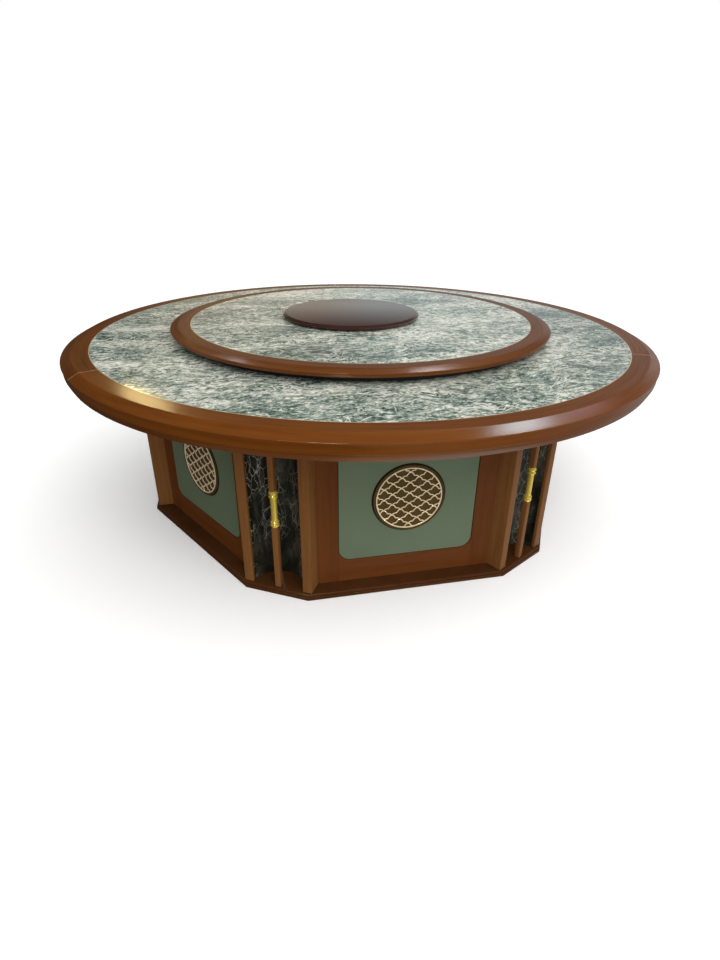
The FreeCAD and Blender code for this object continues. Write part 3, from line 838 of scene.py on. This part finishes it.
def glow(name, place, target, size, power, spread, colour=(1, 1, 1), along=(1, 0, 0)):
    """Narrow lamp that only draws a highlight, its long side along a given direction."""
    light = area_light(name, place, target, size, power, colour)
    light.data.spread = math.radians(spread)
    light.visible_diffuse = False
    back = (Vector(place) - Vector(target)).normalized()
    across = Vector(along)
    across = (across - back * across.dot(back)).normalized()
    turn = Matrix((across, back.cross(across), back)).transposed().to_4x4()
    light.matrix_world = Matrix.Translation(place) @ turn


def make_camera():
    """Camera at the photograph's place, worked out from the table's circles and corners."""
    place = (-0.5420, -2.5077, 1.3408)
    yaw, pitch, roll = 0.2148, 0.4846, 0.0115
    ahead = Vector((
        math.sin(yaw) * math.cos(pitch), math.cos(yaw) * math.cos(pitch), -math.sin(pitch)))
    level = Vector((math.cos(yaw), -math.sin(yaw), 0))
    upright = level.cross(ahead)
    right = math.cos(roll) * level + math.sin(roll) * upright
    up = math.cos(roll) * upright - math.sin(roll) * level
    data = bpy.data.cameras.new("camera")
    data.sensor_width = 36
    data.lens = 21.6
    camera = added("camera", data)
    turn = Matrix((right, up, -ahead)).transposed().to_4x4()
    camera.matrix_world = Matrix.Translation(place) @ turn
    bpy.context.scene.camera = camera


def make_world():
    """White surroundings, dimmer where the polished surfaces mirror them."""
    mirror_strength = 4.0
    below_colour = (0.20, 0.17, 0.14)
    white = (1.0, 1.0, 1.0)
    world = bpy.data.worlds.new("studio")
    world.use_nodes = True
    sky = Nodes(world.node_tree)
    x, y, z = sky.split(sky.node("TexCoord", output=0))

    # What the gloss mirrors: dark at the left, then warm, then cool, and brightest from below
    hue = sky.ramp(sky.node("MapRange", Value=x, i1=-1.0, i2=1.0), [
        (0.40, (0.08, 0.08, 0.07)), (0.475, (0.62, 0.52, 0.38)), (0.56, (0.62, 0.56, 0.46)),
        (0.62, (0.60, 0.66, 0.66)), (0.82, (0.62, 0.63, 0.64)), (0.94, white)])
    rise = sky.ramp(sky.node("MapRange", Value=z, i1=-1.0, i2=1.0), [
        (0.0, 1.0), (0.06, 0.90), (0.15, 0.14), (0.50, 0.15), (0.575, 0.24), (0.62, 0.155),
        (0.68, 0.03), (1.0, 0.045)], smooth=True)
    strength = sky.math("MULTIPLY", rise, mirror_strength)
    mirrored = sky.mixed(1.0, hue, strength, "MULTIPLY")

    # What lights the table: stronger from the right, the front and above
    level = sky.math("SUBTRACT", sky.math("MULTIPLY", x, 0.46), sky.math("MULTIPLY", y, 0.20))
    above = sky.math("ADD", sky.math("MULTIPLY", z, 0.30), sky.math("ADD", level, 0.88))
    soft = sky.mixed(sky.math("LESS_THAN", z, 0.0), above, below_colour)

    ray = sky.node("LightPath").node.outputs
    seen = sky.mixed(ray["Is Glossy Ray"], soft, mirrored)
    shown = sky.mixed(ray["Is Camera Ray"], seen, white)
    sky.feed(sky.tree.nodes["Background"].inputs["Color"], shown)
    bpy.context.scene.world = world


def make_lamps():
    """Two soft lamps, and narrow ones that only draw the highlights on the wood."""
    fill("key", place=(0.2, -3.2, 2.9), target=(0, -0.6, 0.6), size=(1.4, 1.2), power=28,
         colour=(1, 0.98, 0.95))
    fill("front", place=(-0.3, -3.9, 1.0), target=(0, -0.7, 0.35), size=(1.2, 0.9), power=21)
    glow("nose_glow", place=(-1.44, -3.34, 3.2), target=(-0.35, -1.16, 0.73), size=(0.9, 0.6),
         power=1.6, spread=12)
    glow("slope_glow", place=(2.12, -0.30, 3.54), target=(0.2, -1.17, 0.74), size=(0.95, 0.36),
         power=0.42, spread=16, colour=(0.74, 0.93, 1.0), along=(0.61, 0.26, -0.38))
    glow("slope_tail", place=(2.80, 0.17, 2.97), target=(0.42, -1.05, 0.74), size=(2.0, 0.45),
         power=0.16, spread=20, colour=(0.94, 0.74, 1.0), along=(0.9, 0.8, -1.0))
    glow("turn_glow_left", place=(-1.42, 1.88, 3.08), target=(-0.58, -0.63, 0.79),
         size=(0.36, 0.16), power=0.025, spread=12)
    glow("turn_glow_right", place=(1.28, 0.97, 3.52), target=(0.06, -0.85, 0.79),
         size=(0.5, 0.2), power=0.11, spread=12)
    glow("gold_glow", place=(-1.33, 2.43, 1.91), target=(-0.82, -0.81, 0.75),
         size=(0.44, 0.06), power=0.025, spread=12, colour=(1.0, 0.78, 0.34),
         along=(0.41, -0.26, 0.16))


make_floor()
make_camera()
make_world()
make_lamps()
bpy.context.scene.view_settings.view_transform = "Standard"
